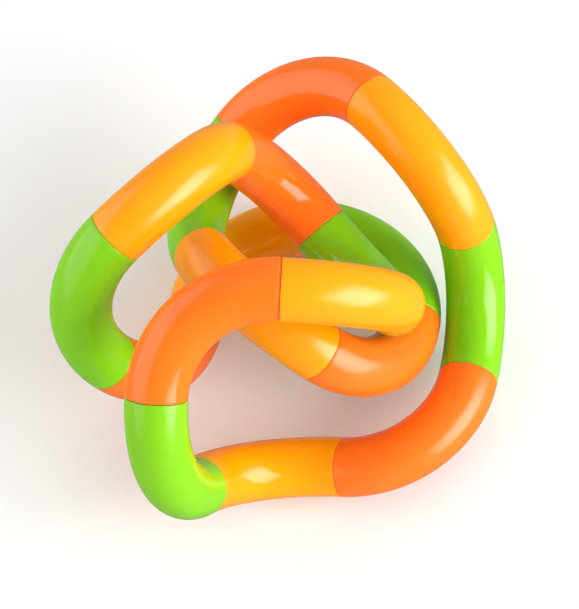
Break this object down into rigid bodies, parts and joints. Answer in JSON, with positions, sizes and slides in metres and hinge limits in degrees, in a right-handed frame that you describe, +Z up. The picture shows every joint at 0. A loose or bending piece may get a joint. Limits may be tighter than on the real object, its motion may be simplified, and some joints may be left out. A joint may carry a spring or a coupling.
{
  "type": "twisting loop puzzle",
  "caption": "Closed loop of glossy curved plastic elbows in orange, yellow and green, snapped end to end on free swivels and twisted into a loose tangle that rests on the ground.",
  "frame": {"origin": "on the ground, under the middle of the object's box", "axes": "+Z up from the surface the tangle rests on; +Y away from the side it is seen from, along the longest side of the box; +X to the right"},
  "size_m": [0.0894, 0.0938, 0.0643],
  "materials": {
    "orange_plastic": "glossy opaque injection-moulded ABS, bright orange",
    "yellow_plastic": "glossy opaque injection-moulded ABS, golden yellow",
    "green_plastic": "glossy opaque injection-moulded ABS, lime green"
  },
  "bodies": {
    "elbow_01": {"elbow_01_orange": "orange_plastic"},
    "elbow_02": {"elbow_02_yellow": "yellow_plastic"},
    "elbow_03": {"elbow_03_green": "green_plastic"},
    "elbow_04": {"elbow_04_orange": "orange_plastic"},
    "elbow_05": {"elbow_05_yellow": "yellow_plastic"},
    "elbow_06": {"elbow_06_green": "green_plastic"},
    "elbow_07": {"elbow_07_orange": "orange_plastic"},
    "elbow_08": {"elbow_08_yellow": "yellow_plastic"},
    "elbow_09": {"elbow_09_green": "green_plastic"},
    "elbow_10": {"elbow_10_orange": "orange_plastic"},
    "elbow_11": {"elbow_11_yellow": "yellow_plastic"},
    "elbow_12": {"elbow_12_green": "green_plastic"},
    "elbow_13": {"elbow_13_orange": "orange_plastic"},
    "elbow_14": {"elbow_14_yellow": "yellow_plastic"},
    "elbow_15": {"elbow_15_green": "green_plastic"},
    "elbow_16": {"elbow_16_orange": "orange_plastic"},
    "elbow_17": {"elbow_17_yellow": "yellow_plastic"},
    "elbow_18": {"elbow_18_green": "green_plastic"}
  },
  "joints": [
    {"name": "swivel_14_15", "type": "hinge", "parent": "elbow_14", "child": "elbow_15", "pos_m": [0.00606, 0.02246, 0.00597], "axis": [0.9939, -0.1107, 0], "range_deg": [0, 3.5]},
    {"name": "swivel_15_16", "type": "hinge", "parent": "elbow_15", "child": "elbow_16", "pos_m": [0.02561, -0.00084, 0.01255], "axis": [-0.1056, -0.9484, 0.2991], "range_deg": [0, 5]},
    {"name": "swivel_16_17", "type": "hinge", "parent": "elbow_16", "child": "elbow_17", "pos_m": [0.007, -0.01563, 0.03262], "axis": [-0.7401, 0.2758, 0.6134], "range_deg": [-2, 0]},
    {"name": "swivel_17_18", "type": "hinge", "parent": "elbow_17", "child": "elbow_18", "pos_m": [-0.01599, 0.00529, 0.03134], "axis": [-0.305, 0.6752, -0.6716], "range_deg": [-16, 0]},
    {"name": "swivel_18_01", "type": "hinge", "parent": "elbow_18", "child": "elbow_01", "pos_m": [-0.00923, 0.03509, 0.02547], "axis": [0.6122, 0.6792, 0.4048], "range_deg": [0, 285]},
    {"name": "swivel_01_02", "type": "hinge", "parent": "elbow_01", "child": "elbow_02", "pos_m": [0.0173, 0.0339, 0.04169], "axis": [0.5935, -0.733, 0.3323], "range_deg": [0, 245]},
    {"name": "swivel_02_03", "type": "hinge", "parent": "elbow_02", "child": "elbow_03", "pos_m": [0.03606, 0.01301, 0.02829], "axis": [0.2596, -0.2165, -0.9411], "range_deg": [-230, 0]},
    {"name": "swivel_03_04", "type": "hinge", "parent": "elbow_03", "child": "elbow_04", "pos_m": [0.03697, -0.01292, 0.01113], "axis": [-0.2186, -0.9624, 0.1611], "range_deg": [0, 290]},
    {"name": "swivel_04_05", "type": "hinge", "parent": "elbow_04", "child": "elbow_05", "pos_m": [0.01167, -0.03066, 0.00742], "axis": [-0.931, 0.1562, -0.3298], "range_deg": [-240, 0]},
    {"name": "swivel_05_06", "type": "hinge", "parent": "elbow_05", "child": "elbow_06", "pos_m": [-0.01679, -0.03804, 0.01758], "axis": [-0.3629, -0.4916, 0.7916], "continuous": true},
    {"name": "swivel_13_14", "type": "hinge", "parent": "elbow_14", "child": "elbow_13", "pos_m": [-0.01823, 0.00313, 0.00804], "axis": [-0.1102, -0.9894, 0.0941], "range_deg": [0, 5]},
    {"name": "swivel_12_13", "type": "hinge", "parent": "elbow_13", "child": "elbow_12", "pos_m": [-0.03393, -0.01552, 0.02737], "axis": [-0.6037, 0.1419, 0.7845], "range_deg": [0, 0.5]},
    {"name": "swivel_11_12", "type": "hinge", "parent": "elbow_12", "child": "elbow_11", "pos_m": [-0.03145, -0.00077, 0.05465], "axis": [0.7162, 0.5287, 0.4555], "range_deg": [-3, 0]},
    {"name": "swivel_10_11", "type": "hinge", "parent": "elbow_11", "child": "elbow_10", "pos_m": [-0.01124, 0.02114, 0.04574], "axis": [0.2027, 0.467, -0.8607], "range_deg": [0, 1]},
    {"name": "swivel_09_10", "type": "hinge", "parent": "elbow_10", "child": "elbow_09", "pos_m": [0.00726, 0.01536, 0.0214], "axis": [0.6382, -0.7297, -0.2456], "range_deg": [-38, 0]},
    {"name": "swivel_08_09", "type": "hinge", "parent": "elbow_09", "child": "elbow_08", "pos_m": [0.02152, -0.00754, 0.0369], "axis": [0.0099, -0.3112, 0.9503], "range_deg": [-15, 0]},
    {"name": "swivel_07_08", "type": "hinge", "parent": "elbow_08", "child": "elbow_07", "pos_m": [-0.00023, -0.01323, 0.05841], "axis": [-0.9983, 0.0523, 0.0275], "range_deg": [-52, 172]}
  ]
}
